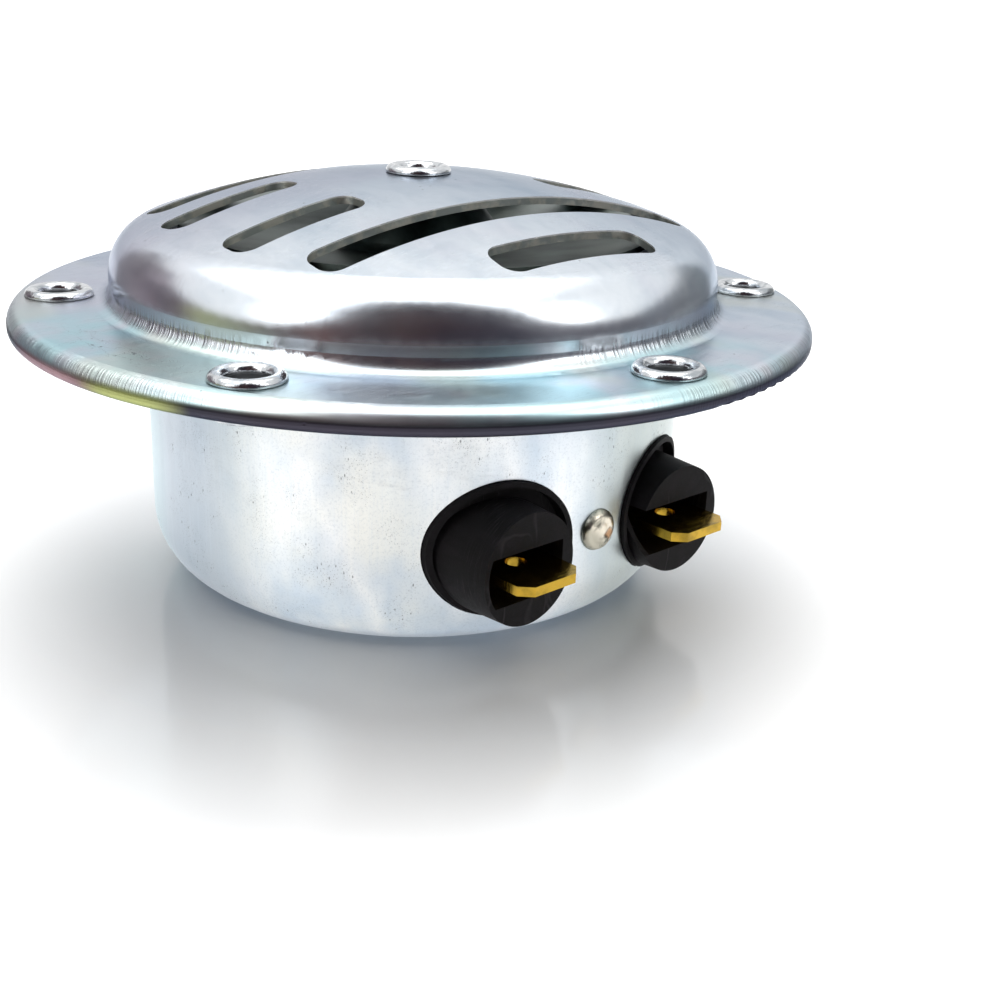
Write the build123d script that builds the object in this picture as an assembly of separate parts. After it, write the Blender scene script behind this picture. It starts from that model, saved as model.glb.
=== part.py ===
from build123d import *
from math import atan2, cos, degrees, radians, sin, sqrt
import os

# Small disc horn for a vehicle, lying on its flat back with the grille up.
# Millimetres. Origin: middle of the flat back. +Z: towards the grille.
# The two blade terminals point along -Y.

# Clearances
RUNNING_FIT = 0.1
SEAT_GAP = 0.02
FLANGE_FIT = 0.3
SHARP = 0

# Pressed steel housing: a deep bowl with a flat flange
HOUSING_SHEET = 0.8
BOWL_RADIUS = 23.8
BOWL_CORNER = 6.0
BOWL_LIP_BEND = 1.2
FLANGE_HEIGHT = 22.6

# Diaphragm stack clamped between the two flanges
GASKET_SHEET = 0.2
GASKET_WIDTH = 5.7
DIAPHRAGM_SHEET = 0.3
BEAD_TO_GASKET = 4.3
DIAPHRAGM_BEAD_WIDTH = 1.6
DIAPHRAGM_BEAD_HEIGHT = 0.8
DIAPHRAGM_CENTRE_RADIUS = 10.5
DIAPHRAGM_CENTRE_RISE = 0.6

# Pressed steel cover: a shallow dome with a slotted crown and a turned down rim
COVER_SHEET = 0.65
DOME_STEP = 2.8
FLANGE_WIDTH = 8.4
RIM_BEND = 1.3
RIM_EDGE_ROUND = 0.55
RIM_SHORT = 0.1
DOME_WALL = 5.24
CROWN_RADIUS = 67.5
SHOULDER_RADIUS = 4.6
DOME_FOOT_RADIUS = 1.3

# Grille slots in rows across the horn. The shares place the rows on the dome's radius,
# and each row ends a margin short of the dome wall.
SLOT_WIDTH = 3.8
SLOT_CORNER = 1.5
INNER_ROW_SHARE = 0.185
MIDDLE_ROW_SHARE = 0.472
OUTER_ROW_SHARE = 0.754
INNER_ROW_START = 9.8
INNER_ROW_MARGIN = 4.75
MIDDLE_ROW_MARGIN = 7.4
OUTER_ROW_MARGIN = 18.55

# The cover with its slots and eyelets sits a little turned against the terminals
COVER_TURN = -1.7

# Hollow eyelets
EYELET_COUNT = 6
EYELET_FIRST_ANGLE = -90.0
EYELET_BORE_RADIUS = 1.7
EYELET_WALL = 0.4
EYELET_HEAD_RADIUS = 2.9
EYELET_HEAD_HEIGHT = 0.65
EYELET_HEAD_BEVEL = 0.3
EYELET_FOOT_RADIUS = 2.8
EYELET_FOOT_HEIGHT = 0.5

# Dished baffle that hangs under the crown on the middle eyelet
BAFFLE_SHEET = 0.5
BAFFLE_PAD_RADIUS = 4.2
BAFFLE_THROAT_RADIUS = 8.0
BAFFLE_DROP = 5.0
BAFFLE_ROOM = 6.0
BAFFLE_RIM_GAP = 0.35
BAFFLE_BEND = 1.6

# Magnet: threaded pole core, strap yoke and pole plate
CORE_STEP = 0.3
CORE_DROP = 4.7
CORE_SPIGOT_RADIUS = 4.5
CORE_THREAD_RADIUS = 2.5
CORE_THREAD_END = 2.8
CORE_THREAD_CHAMFER = 0.5
YOKE_SHEET = 1.5
YOKE_INSET = 1.8
YOKE_WIDTH = 11.0
YOKE_BEND = 2.0
YOKE_TAB_WIDTH = 5.0
POLE_PLATE_DROP = 5.85
POLE_PLATE_SHEET = 1.5
POLE_PLATE_ROOM = 6.4
POLE_PLATE_AIR = 0.8

# Coil on a moulded bobbin
BOBBIN_WALL = 0.8
BOBBIN_FLANGE = 1.0
BOBBIN_TO_YOKE = 0.9
COIL_DEPTH_LEFT = 0.7

# Armature with its collar and stud
ARMATURE_RADIUS = 6.2
ARMATURE_GAP = 0.8
COLLAR_STEP = 2.3
COLLAR_THICKNESS = 1.6
NECK_RADIUS = 5.0
STUD_RADIUS = 2.5
STUD_PROJECTION = 0.6
CLAMP_WASHER_RADIUS = 8.0
CLAMP_WASHER_SHEET = 0.8
NUT_ACROSS_FLATS = 8.0
NUT_HEIGHT = 4.0
NUT_CHAMFER = 0.5

# Contact breaker on the pole plate
STRIP_LENGTH = 5.0
STRIP_WIDTH = 4.5
BREAKER_INSET = 8.4
BREAKER_TO_COLLAR = 0.8
THIN_STRIP = 0.5
SPACER_STRIP = 1.2
TOP_STRIP = 0.4
SPRING_SHEET = 0.3
SPRING_END_X = 7.4
BRACKET_SHEET = 1.0
BRACKET_TO_COLLAR = 0.6
BRACKET_END_X = 7.4
BRACKET_WIDTH = 3.5
CONTACT_X = 5.6
CONTACT_TO_COLLAR = 1.9
CONTACT_RADIUS = 1.1
BUTTON_RADIUS = 0.6
BUTTON_HEIGHT = 0.35
BUTTON_UNDER_COLLAR = 0.7
RIVET_RADIUS = 0.9
RIVET_HEAD_RADIUS = 1.15
RIVET_HEAD_HEIGHT = 0.6
RIVET_SPACING = 2.4

# Adjusting screw in a plunged hole in the back
SCREW_RADIUS = 1.5
SCREW_RECESS = 0.3
SCREW_SLOT_WIDTH = 0.6
SCREW_SLOT_DEPTH = 1.0
PLUNGE_RADIUS = 2.1
PLUNGE_HEIGHT = 2.0

# Moulded terminal block with two round stubs through the bowl wall
TERMINAL_X = 8.76
TERMINAL_Z = 8.8
BOSS_RADIUS = 5.75
BOSS_LIFT = 0.7
BOSS_PROUD = 0.35
BOSS_RIM = 0.45
BOSS_RECESS = 1.0
BOSS_BACK = 2.46
STUB_RADIUS = 4.7
STUB_ROOT_RADIUS = 5.1
STUB_REACH = 1.3
SOCKET_DEPTH = 4.9
SOCKET_WALL = 0.45
SOCKET_SIDE = 3.5
SOCKET_ABOVE = 1.75
SOCKET_BELOW = 2.45
NOTCH_DEPTH = 2.8
BRIDGE_THICKNESS = 2.7
BRIDGE_MARGIN = 0.64
BRIDGE_BOTTOM = 6.4
BRIDGE_TOP = 16.0

# Brass blades
BLADE_WIDTH = 6.3
BLADE_SHEET = 0.8
BLADE_DROP = 0.25
BLADE_REACH = 2.9
BLADE_TAIL = 2.2
BLADE_TIP_CHAMFER = 1.0
BLADE_HOLE_RADIUS = 0.9
BLADE_HOLE_FROM_TIP = 4.5

# Rivet that holds the terminal block to the wall
BLOCK_RIVET_Z = 9.6
BLOCK_RIVET_RADIUS = 1.2
BLOCK_RIVET_HEAD_RADIUS = 1.8
BLOCK_RIVET_HEAD_HEIGHT = 0.6
BLOCK_RIVET_TAIL_HEIGHT = 0.5

# Insulated wires inside
WIRE_RADIUS = 0.4
WIRE_BEND = 1.2
SOLDER_LENGTH = 1.8
WALL_LANE_GAP = 2.8
PLATE_LANE_GAP = 0.9
COIL_TAIL_DROP = 1.6

# Radii that follow from the bowl outwards
DOME_RADIUS = BOWL_RADIUS + DOME_STEP
COVER_RADIUS = DOME_RADIUS + FLANGE_WIDTH
HOUSING_FLANGE_RADIUS = COVER_RADIUS - COVER_SHEET - FLANGE_FIT
STACK_RADIUS = HOUSING_FLANGE_RADIUS - FLANGE_FIT
GASKET_INNER_RADIUS = STACK_RADIUS - GASKET_WIDTH
DIAPHRAGM_BEAD_RADIUS = GASKET_INNER_RADIUS - BEAD_TO_GASKET
EYELET_CIRCLE_RADIUS = (DOME_RADIUS + DOME_FOOT_RADIUS + COVER_RADIUS - RIM_BEND) / 2
BARREL_RADIUS = EYELET_BORE_RADIUS + EYELET_WALL
EYELET_HOLE_RADIUS = BARREL_RADIUS + RUNNING_FIT
INNER_ROW_END = DOME_RADIUS - INNER_ROW_MARGIN
MIDDLE_ROW_REACH = DOME_RADIUS - MIDDLE_ROW_MARGIN
OUTER_ROW_REACH = DOME_RADIUS - OUTER_ROW_MARGIN
BAFFLE_RADIUS = DOME_RADIUS - BAFFLE_ROOM

# Radii that follow from the armature
CORE_RADIUS = ARMATURE_RADIUS + CORE_STEP
COLLAR_RADIUS = ARMATURE_RADIUS + COLLAR_STEP
POLE_PLATE_BORE = ARMATURE_RADIUS + POLE_PLATE_AIR

# Radii that follow from the bowl inwards
INNER_WALL_RADIUS = BOWL_RADIUS - HOUSING_SHEET
POLE_PLATE_RADIUS = BOWL_RADIUS - POLE_PLATE_ROOM
YOKE_HALF_SPAN = POLE_PLATE_RADIUS - YOKE_INSET
BOBBIN_RADIUS = YOKE_HALF_SPAN - YOKE_SHEET - BOBBIN_TO_YOKE
COIL_RADIUS = BOBBIN_RADIUS - COIL_DEPTH_LEFT
SCREW_Y = BOBBIN_RADIUS + PLUNGE_RADIUS + 2 * RUNNING_FIT
STACK_MIDDLE_X = BREAKER_INSET - POLE_PLATE_RADIUS
STACK_MIDDLE_Y = COLLAR_RADIUS + BREAKER_TO_COLLAR
BRACKET_INNER_Y = COLLAR_RADIUS + BRACKET_TO_COLLAR
BRACKET_OUTER_Y = BRACKET_INNER_Y + BRACKET_WIDTH
CONTACT_Y = COLLAR_RADIUS + CONTACT_TO_COLLAR
BUTTON_Y = COLLAR_RADIUS - BUTTON_UNDER_COLLAR

# Places of the terminals, which follow the bowl wall
BOSS_Z = TERMINAL_Z + BOSS_LIFT
BOSS_EDGE_X = TERMINAL_X + BOSS_RADIUS
BOSS_INNER_Y = BOSS_BACK - sqrt(BOWL_RADIUS**2 - BOSS_EDGE_X**2)
STUB_END_Y = -BOWL_RADIUS - STUB_REACH
SOCKET_FLOOR_Y = STUB_END_Y + SOCKET_DEPTH
BLADE_TIP_Y = STUB_END_Y - BLADE_REACH
BLADE_TAIL_Y = BOSS_INNER_Y + BLADE_TAIL
OUTSIDE_Y = BLADE_TIP_Y - 1

# Heights that follow from the sizes above
FLOOR = HOUSING_SHEET
POLE_PLATE_HEIGHT = FLANGE_HEIGHT - POLE_PLATE_DROP
CORE_TOP = POLE_PLATE_HEIGHT - CORE_DROP
CORE_THREAD_DEPTH = CORE_TOP - CORE_THREAD_END
REAR_GASKET_Z = FLANGE_HEIGHT + HOUSING_SHEET
DIAPHRAGM_Z = REAR_GASKET_Z + GASKET_SHEET
FRONT_GASKET_Z = DIAPHRAGM_Z + DIAPHRAGM_SHEET
COVER_SEAT_Z = FRONT_GASKET_Z + GASKET_SHEET
COVER_FLANGE_TOP = COVER_SEAT_Z + COVER_SHEET
DOME_EDGE_TOP = COVER_FLANGE_TOP + DOME_WALL
CROWN_TOP = DOME_EDGE_TOP + CROWN_RADIUS - sqrt(CROWN_RADIUS**2 - DOME_RADIUS**2)
DIAPHRAGM_CENTRE_Z = DIAPHRAGM_Z + DIAPHRAGM_CENTRE_RISE
YOKE_TOP = FLOOR + YOKE_SHEET
POLE_PLATE_TOP = POLE_PLATE_HEIGHT + POLE_PLATE_SHEET
SPRING_Z = POLE_PLATE_TOP + THIN_STRIP
BRACKET_Z = SPRING_Z + SPRING_SHEET + SPACER_STRIP
STRIP_TOP_Z = BRACKET_Z + BRACKET_SHEET
COLLAR_Z = SPRING_Z + SPRING_SHEET + BUTTON_HEIGHT


def crown_height(radius, depth=0.0):
    """Height of the crown sphere, or of the sphere that lies a depth under it."""
    ball = CROWN_RADIUS - depth
    return CROWN_TOP - CROWN_RADIUS + sqrt(ball**2 - radius**2)


def turned(outline):
    """Turn a closed outline in the XZ plane about the horn's axis."""
    return revolve(Plane.XZ * make_face(outline), Axis.Z)


def turned_sheet(points, bends, sheet, side):
    """Turn a strip of even thickness that follows a bent path from the axis outwards."""
    path = FilletPolyline(*points, radius=bends) if bends else Polyline(*points)
    return turned(path.offset_2d(sheet, side=side))


def disc(radius, bottom, top):
    return Pos(0, 0, bottom) * Cylinder(
        radius, top - bottom, align=(Align.CENTER, Align.CENTER, Align.MIN)
    )


def ring(inner, outer, bottom, top):
    return disc(outer, bottom, top) - disc(inner, bottom, top)


def block(x0, x1, y0, y1, z0, z1):
    """Box between two corners."""
    middle = Pos((x0 + x1) / 2, (y0 + y1) / 2, (z0 + z1) / 2)
    return middle * Box(x1 - x0, y1 - y0, z1 - z0)


def rod_along_y(x, z, radius, y0, y1):
    """Cylinder between two places along Y."""
    middle = Pos(x, (y0 + y1) / 2, z) * Rot(90, 0, 0)
    return middle * Cylinder(radius, y1 - y0)


def eyelet_places():
    return PolarLocations(EYELET_CIRCLE_RADIUS, EYELET_COUNT, EYELET_FIRST_ANGLE + COVER_TURN)


def flange_holes(radius):
    """Cutters for the six eyelet holes."""
    cutter = disc(radius, FLANGE_HEIGHT - 1, COVER_FLANGE_TOP + 1)
    return [place * cutter for place in eyelet_places()]


def bowl_form(growth):
    """Solid bowl outline, grown outwards, for cutting and trimming."""
    corner = BOWL_CORNER + growth
    body = disc(BOWL_RADIUS + growth, -growth, FLANGE_HEIGHT)
    return fillet(rims_of(body, BOWL_RADIUS + growth)[0], corner)


def make_housing():
    """Deep drawn bowl and flange, with every hole that the real pressing has."""
    bowl = turned_sheet(
        [
            (0, 0),
            (BOWL_RADIUS, 0),
            (BOWL_RADIUS, FLANGE_HEIGHT),
            (HOUSING_FLANGE_RADIUS, FLANGE_HEIGHT),
        ],
        [BOWL_CORNER, BOWL_LIP_BEND],
        HOUSING_SHEET,
        Side.LEFT,
    )
    plunge = Pos(0, SCREW_Y, 0) * disc(PLUNGE_RADIUS, 0, FLOOR + PLUNGE_HEIGHT)
    screw_hole = disc(SCREW_RADIUS + RUNNING_FIT, -1, FLOOR + PLUNGE_HEIGHT + 1)
    bowl = bowl + plunge - Pos(0, SCREW_Y, 0) * screw_hole
    bowl -= disc(CORE_SPIGOT_RADIUS + RUNNING_FIT, -1, FLOOR + 1)
    for side in (-1, 1):
        hole_radius = BOSS_RADIUS + RUNNING_FIT
        bowl -= rod_along_y(side * TERMINAL_X, BOSS_Z, hole_radius, OUTSIDE_Y, BOSS_INNER_Y)
    rivet_hole = BLOCK_RIVET_RADIUS + RUNNING_FIT
    bowl -= rod_along_y(0, BLOCK_RIVET_Z, rivet_hole, OUTSIDE_Y, BLADE_TAIL_Y)
    bowl -= flange_holes(EYELET_HOLE_RADIUS)
    return bowl


def rims_of(solid, radius):
    """Circular edges of one radius, the lowest first."""
    circles = solid.edges().filter_by(GeomType.CIRCLE)
    return circles.filter_by(lambda edge: abs(edge.radius - radius) < 0.01).sort_by(Axis.Z)


def slot_outline():
    """Six rows of slots, the two inner rows parted in the middle for the eyelet."""
    slots = Sketch()
    for side in (-1, 1):
        outer_y = side * OUTER_ROW_SHARE * DOME_RADIUS
        middle_y = side * MIDDLE_ROW_SHARE * DOME_RADIUS
        inner_y = side * INNER_ROW_SHARE * DOME_RADIUS
        slots += Pos(0, outer_y) * RectangleRounded(2 * OUTER_ROW_REACH, SLOT_WIDTH, SLOT_CORNER)
        slots += Pos(0, middle_y) * RectangleRounded(2 * MIDDLE_ROW_REACH, SLOT_WIDTH, SLOT_CORNER)
        for end in (-1, 1):
            slot = RectangleRounded(INNER_ROW_END - INNER_ROW_START, SLOT_WIDTH, SLOT_CORNER)
            slots += Pos(end * (INNER_ROW_START + INNER_ROW_END) / 2, inner_y) * slot
    return Rot(0, 0, COVER_TURN) * slots


def cover_form(inset):
    """Solid dome on a flange, its whole skin moved inwards by the inset."""
    bottom = FLANGE_HEIGHT + RIM_SHORT - inset
    flange_top = COVER_FLANGE_TOP - inset
    dome = disc(DOME_RADIUS - inset, bottom, CROWN_TOP)
    dome &= Pos(0, 0, CROWN_TOP - CROWN_RADIUS) * Sphere(CROWN_RADIUS - inset)
    dome = fillet(rims_of(dome, DOME_RADIUS - inset)[-1], SHOULDER_RADIUS - inset)
    flange = disc(COVER_RADIUS - inset, bottom, flange_top)
    flange = fillet(rims_of(flange, COVER_RADIUS - inset)[-1], RIM_BEND - inset)
    form = dome + flange
    foot = rims_of(form, DOME_RADIUS - inset)[0]
    return fillet(foot, DOME_FOOT_RADIUS + inset)


def make_cover():
    """Dome and flange of one sheet, turned down at the rim, then punched."""
    cover = cover_form(0) - cover_form(COVER_SHEET)
    cover = fillet(rims_of(cover, COVER_RADIUS)[0], RIM_EDGE_ROUND)
    cover -= extrude(Pos(0, 0, COVER_FLANGE_TOP) * slot_outline(), CROWN_TOP)
    cover -= disc(EYELET_HOLE_RADIUS, FLANGE_HEIGHT, CROWN_TOP + 1)
    return cover - flange_holes(EYELET_HOLE_RADIUS)


def eyelet(foot_z, head_z):
    """Hollow rivet: a flared foot, a thin barrel and a rolled head."""
    foot_end = foot_z - EYELET_FOOT_HEIGHT
    head_end = head_z + EYELET_HEAD_HEIGHT
    outline = Polyline(
        (EYELET_BORE_RADIUS, foot_end),
        (EYELET_FOOT_RADIUS, foot_end),
        (EYELET_FOOT_RADIUS, foot_z),
        (BARREL_RADIUS, foot_z),
        (BARREL_RADIUS, head_z),
        (EYELET_HEAD_RADIUS, head_z),
        (EYELET_HEAD_RADIUS, head_end - EYELET_HEAD_BEVEL),
        (EYELET_HEAD_RADIUS - EYELET_HEAD_BEVEL, head_end),
        (EYELET_BORE_RADIUS, head_end),
        close=True,
    )
    return turned(outline)


def make_flange_eyelets():
    one = eyelet(FLANGE_HEIGHT - SEAT_GAP, COVER_FLANGE_TOP + SEAT_GAP)
    return Compound(children=[place * one for place in eyelet_places()])


def baffle_top():
    """Height of the baffle's pad, where its edge meets the inside of the crown."""
    return crown_height(BAFFLE_PAD_RADIUS, COVER_SHEET) - SEAT_GAP


def make_centre_eyelet():
    pad_under = baffle_top() - BAFFLE_SHEET - SEAT_GAP
    return eyelet(pad_under, crown_height(EYELET_HOLE_RADIUS) + SEAT_GAP)


def make_baffle():
    """Pressed dish that breaks up the straight way in through the slots."""
    top = baffle_top()
    rim_z = crown_height(BAFFLE_RADIUS, COVER_SHEET) - BAFFLE_RIM_GAP
    dish = turned_sheet(
        [
            (0, top),
            (BAFFLE_PAD_RADIUS, top),
            (BAFFLE_THROAT_RADIUS, top - BAFFLE_DROP),
            (BAFFLE_RADIUS, rim_z),
        ],
        BAFFLE_BEND,
        BAFFLE_SHEET,
        Side.RIGHT,
    )
    return dish - disc(EYELET_HOLE_RADIUS, top - 1, top + 1)


def make_gasket(bottom):
    gasket = ring(GASKET_INNER_RADIUS, STACK_RADIUS, bottom, bottom + GASKET_SHEET)
    return gasket - flange_holes(EYELET_HOLE_RADIUS)


def make_diaphragm():
    """Thin spring steel disc with one bead and a raised middle."""
    bead_in = DIAPHRAGM_BEAD_RADIUS - DIAPHRAGM_BEAD_WIDTH / 2
    bead_out = DIAPHRAGM_BEAD_RADIUS + DIAPHRAGM_BEAD_WIDTH / 2
    bead_top = DIAPHRAGM_Z + DIAPHRAGM_BEAD_HEIGHT
    slope_end = DIAPHRAGM_CENTRE_RADIUS + 4 * DIAPHRAGM_CENTRE_RISE
    sheet = turned_sheet(
        [
            (0, DIAPHRAGM_CENTRE_Z),
            (DIAPHRAGM_CENTRE_RADIUS, DIAPHRAGM_CENTRE_Z),
            (slope_end, DIAPHRAGM_Z),
            (bead_in - DIAPHRAGM_BEAD_HEIGHT, DIAPHRAGM_Z),
            (bead_in, bead_top),
            (bead_out, bead_top),
            (bead_out + DIAPHRAGM_BEAD_HEIGHT, DIAPHRAGM_Z),
            (STACK_RADIUS, DIAPHRAGM_Z),
        ],
        SHARP,
        DIAPHRAGM_SHEET,
        Side.LEFT,
    )
    sheet -= disc(STUD_RADIUS + RUNNING_FIT, FLANGE_HEIGHT, CROWN_TOP)
    return sheet - flange_holes(EYELET_HOLE_RADIUS)


def make_armature():
    """Soft iron slug with a collar that trips the contacts and a stud on top."""
    washer_z = DIAPHRAGM_CENTRE_Z - CLAMP_WASHER_SHEET
    nut_top = DIAPHRAGM_CENTRE_Z + DIAPHRAGM_SHEET + CLAMP_WASHER_SHEET + NUT_HEIGHT
    collar_top = COLLAR_Z + COLLAR_THICKNESS
    slug = disc(ARMATURE_RADIUS, CORE_TOP + ARMATURE_GAP, COLLAR_Z)
    slug += disc(COLLAR_RADIUS, COLLAR_Z, collar_top)
    slug += disc(NECK_RADIUS, collar_top, washer_z)
    slug += disc(STUD_RADIUS, washer_z, nut_top + STUD_PROJECTION)
    return slug


def make_clamp_washers():
    hole = STUD_RADIUS + RUNNING_FIT
    under = DIAPHRAGM_CENTRE_Z - CLAMP_WASHER_SHEET
    over = DIAPHRAGM_CENTRE_Z + DIAPHRAGM_SHEET
    washers = [
        ring(hole, CLAMP_WASHER_RADIUS, bottom, bottom + CLAMP_WASHER_SHEET)
        for bottom in (under, over)
    ]
    return Compound(children=washers)


def make_armature_nut():
    bottom = DIAPHRAGM_CENTRE_Z + DIAPHRAGM_SHEET + CLAMP_WASHER_SHEET
    hexagon = RegularPolygon(NUT_ACROSS_FLATS / 2, 6, major_radius=False)
    nut = extrude(Pos(0, 0, bottom) * hexagon, NUT_HEIGHT)
    blank = disc(NUT_ACROSS_FLATS / sqrt(3), bottom, bottom + NUT_HEIGHT)
    rims = blank.edges().filter_by(GeomType.CIRCLE)
    nut &= chamfer(rims, NUT_CHAMFER)
    return nut - disc(STUD_RADIUS + RUNNING_FIT, bottom, bottom + NUT_HEIGHT)


def make_pole_core():
    """Core whose spigot is spun flush in the back, tapped for the fixing bolt."""
    core = disc(CORE_RADIUS, YOKE_TOP, CORE_TOP)
    core += disc(CORE_SPIGOT_RADIUS, 0, YOKE_TOP)
    core -= disc(CORE_THREAD_RADIUS, 0, CORE_THREAD_DEPTH)
    return chamfer(rims_of(core, CORE_THREAD_RADIUS)[0], CORE_THREAD_CHAMFER)


def yoke_tab_middle():
    return YOKE_HALF_SPAN - YOKE_SHEET / 2


def make_yoke():
    """Bent strap whose legs end in tabs that are staked into the pole plate."""
    path = FilletPolyline(
        (-YOKE_HALF_SPAN, POLE_PLATE_HEIGHT),
        (-YOKE_HALF_SPAN, FLOOR),
        (YOKE_HALF_SPAN, FLOOR),
        (YOKE_HALF_SPAN, POLE_PLATE_HEIGHT),
        radius=YOKE_BEND,
    )
    strip = Plane.XZ * make_face(path.offset_2d(YOKE_SHEET, side=Side.LEFT))
    strap = extrude(strip, YOKE_WIDTH / 2, both=True)
    for side in (-1, 1):
        tab = Box(YOKE_SHEET, YOKE_TAB_WIDTH, POLE_PLATE_SHEET)
        strap += Pos(side * yoke_tab_middle(), 0, POLE_PLATE_HEIGHT + POLE_PLATE_SHEET / 2) * tab
    return strap - disc(CORE_SPIGOT_RADIUS + RUNNING_FIT, 0, YOKE_TOP + 1)


def make_pole_plate():
    """Round plate that closes the magnet round the armature."""
    plate = ring(POLE_PLATE_BORE, POLE_PLATE_RADIUS, POLE_PLATE_HEIGHT, POLE_PLATE_TOP)
    for side in (-1, 1):
        slot = Box(
            YOKE_SHEET + 2 * RUNNING_FIT,
            YOKE_TAB_WIDTH + 2 * RUNNING_FIT,
            3 * POLE_PLATE_SHEET,
        )
        plate -= Pos(side * yoke_tab_middle(), 0, POLE_PLATE_HEIGHT) * slot
    screw_way = disc(SCREW_RADIUS + 5 * RUNNING_FIT, POLE_PLATE_HEIGHT - 1, POLE_PLATE_TOP + 1)
    plate -= Pos(0, SCREW_Y, 0) * screw_way
    plate -= rivet_holes()
    return plate


def make_bobbin():
    bottom = YOKE_TOP + SEAT_GAP
    top = POLE_PLATE_HEIGHT - SEAT_GAP
    bore = CORE_RADIUS + 2 * RUNNING_FIT
    tube = bore + BOBBIN_WALL
    bobbin = ring(bore, tube, bottom, top)
    bobbin += ring(bore, BOBBIN_RADIUS, bottom, bottom + BOBBIN_FLANGE)
    bobbin += ring(bore, BOBBIN_RADIUS, top - BOBBIN_FLANGE, top)
    return bobbin


def make_coil():
    bottom = YOKE_TOP + BOBBIN_FLANGE + 2 * SEAT_GAP
    top = POLE_PLATE_HEIGHT - BOBBIN_FLANGE - 2 * SEAT_GAP
    tube = CORE_RADIUS + 2 * RUNNING_FIT + BOBBIN_WALL
    return ring(tube + SEAT_GAP, COIL_RADIUS, bottom, top)


def rivet_places():
    half = RIVET_SPACING / 2
    return [Pos(STACK_MIDDLE_X, STACK_MIDDLE_Y + side * half, 0) for side in (-1, 1)]


def rivet_holes():
    cutter = disc(RIVET_RADIUS + RUNNING_FIT, POLE_PLATE_HEIGHT - 1, STRIP_TOP_Z + TOP_STRIP + 1)
    return [place * cutter for place in rivet_places()]


def strip_span():
    """X and Y limits of the clamped end of the breaker."""
    return (
        STACK_MIDDLE_X - STRIP_LENGTH / 2,
        STACK_MIDDLE_X + STRIP_LENGTH / 2,
        STACK_MIDDLE_Y - STRIP_WIDTH / 2,
        STACK_MIDDLE_Y + STRIP_WIDTH / 2,
    )


def make_breaker_insulators():
    """Fibre strips that part the spring and the bracket from the plate and rivets."""
    x0, x1, y0, y1 = strip_span()
    layers = [
        (POLE_PLATE_TOP, THIN_STRIP),
        (SPRING_Z + SPRING_SHEET, SPACER_STRIP),
        (STRIP_TOP_Z, TOP_STRIP),
    ]
    strips = []
    for bottom, sheet in layers:
        strips.append(block(x0, x1, y0, y1, bottom, bottom + sheet) - rivet_holes())
    return Compound(children=strips)


def make_contact_spring():
    x0, x1, y0, y1 = strip_span()
    spring = block(x0, SPRING_END_X, y0, y1, SPRING_Z, SPRING_Z + SPRING_SHEET)
    free_end = spring.edges().filter_by(Axis.Z).sort_by(Axis.X)[-2:]
    return fillet(free_end, STRIP_WIDTH / 4) - rivet_holes()


def make_trip_button():
    top = SPRING_Z + SPRING_SHEET + BUTTON_HEIGHT
    return Pos(0, BUTTON_Y, 0) * disc(BUTTON_RADIUS, SPRING_Z + SPRING_SHEET, top)


def make_contact_bracket():
    """Stiff carrier of the fixed contact, with a tongue over the adjusting screw."""
    x0, x1, y0, y1 = strip_span()
    top = BRACKET_Z + BRACKET_SHEET
    bracket = block(x0, x1, y0, y1, BRACKET_Z, top)
    bracket += block(x0, BRACKET_END_X, BRACKET_INNER_Y, BRACKET_OUTER_Y, BRACKET_Z, top)
    tongue = 2 * SCREW_RADIUS
    reach = SCREW_Y + tongue / 2
    bracket += block(-tongue, tongue, BRACKET_OUTER_Y, reach, BRACKET_Z, top)
    return bracket - rivet_holes()


def make_contact_points():
    """Two facing contact rivets, shown closed."""
    lower = SPRING_Z + SPRING_SHEET
    middle = (lower + BRACKET_Z) / 2
    place = Pos(CONTACT_X, CONTACT_Y, 0)
    points = [
        place * disc(CONTACT_RADIUS, lower, middle),
        place * disc(CONTACT_RADIUS, middle, BRACKET_Z),
    ]
    return Compound(children=points)


def make_breaker_rivets():
    top = STRIP_TOP_Z + TOP_STRIP
    shank = disc(RIVET_RADIUS, POLE_PLATE_HEIGHT, top)
    rivet = shank + disc(RIVET_HEAD_RADIUS, top, top + RIVET_HEAD_HEIGHT)
    return Compound(children=[place * rivet for place in rivet_places()])


def make_adjusting_screw():
    """Slotted headless screw, sunk a little in the back, that lifts the bracket."""
    screw = disc(SCREW_RADIUS, SCREW_RECESS, BRACKET_Z)
    slot_end = SCREW_RECESS + SCREW_SLOT_DEPTH
    half = SCREW_SLOT_WIDTH / 2
    screw -= block(-SCREW_RADIUS, SCREW_RADIUS, -half, half, SCREW_RECESS, slot_end)
    return Pos(0, SCREW_Y, 0) * screw


def make_terminal_block():
    """One moulding: a curved bridge inside the wall, two bosses and two stubs."""
    inner_wall = INNER_WALL_RADIUS - SEAT_GAP
    moulding = ring(inner_wall - BRIDGE_THICKNESS, inner_wall, BRIDGE_BOTTOM, BRIDGE_TOP)
    half_width = BOSS_EDGE_X + BRIDGE_MARGIN
    moulding &= block(-half_width, half_width, -BOWL_RADIUS, 0, 0, FLANGE_HEIGHT)
    for x in (-TERMINAL_X, TERMINAL_X):
        moulding += make_boss(x) + make_stub(x)
        moulding -= socket_way(x)
        moulding -= blade_way(x)
    moulding -= side_notch(TERMINAL_X)
    rivet_hole = BLOCK_RIVET_RADIUS + RUNNING_FIT
    return moulding - rod_along_y(0, BLOCK_RIVET_Z, rivet_hole, OUTSIDE_Y, BLADE_TAIL_Y)


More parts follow.
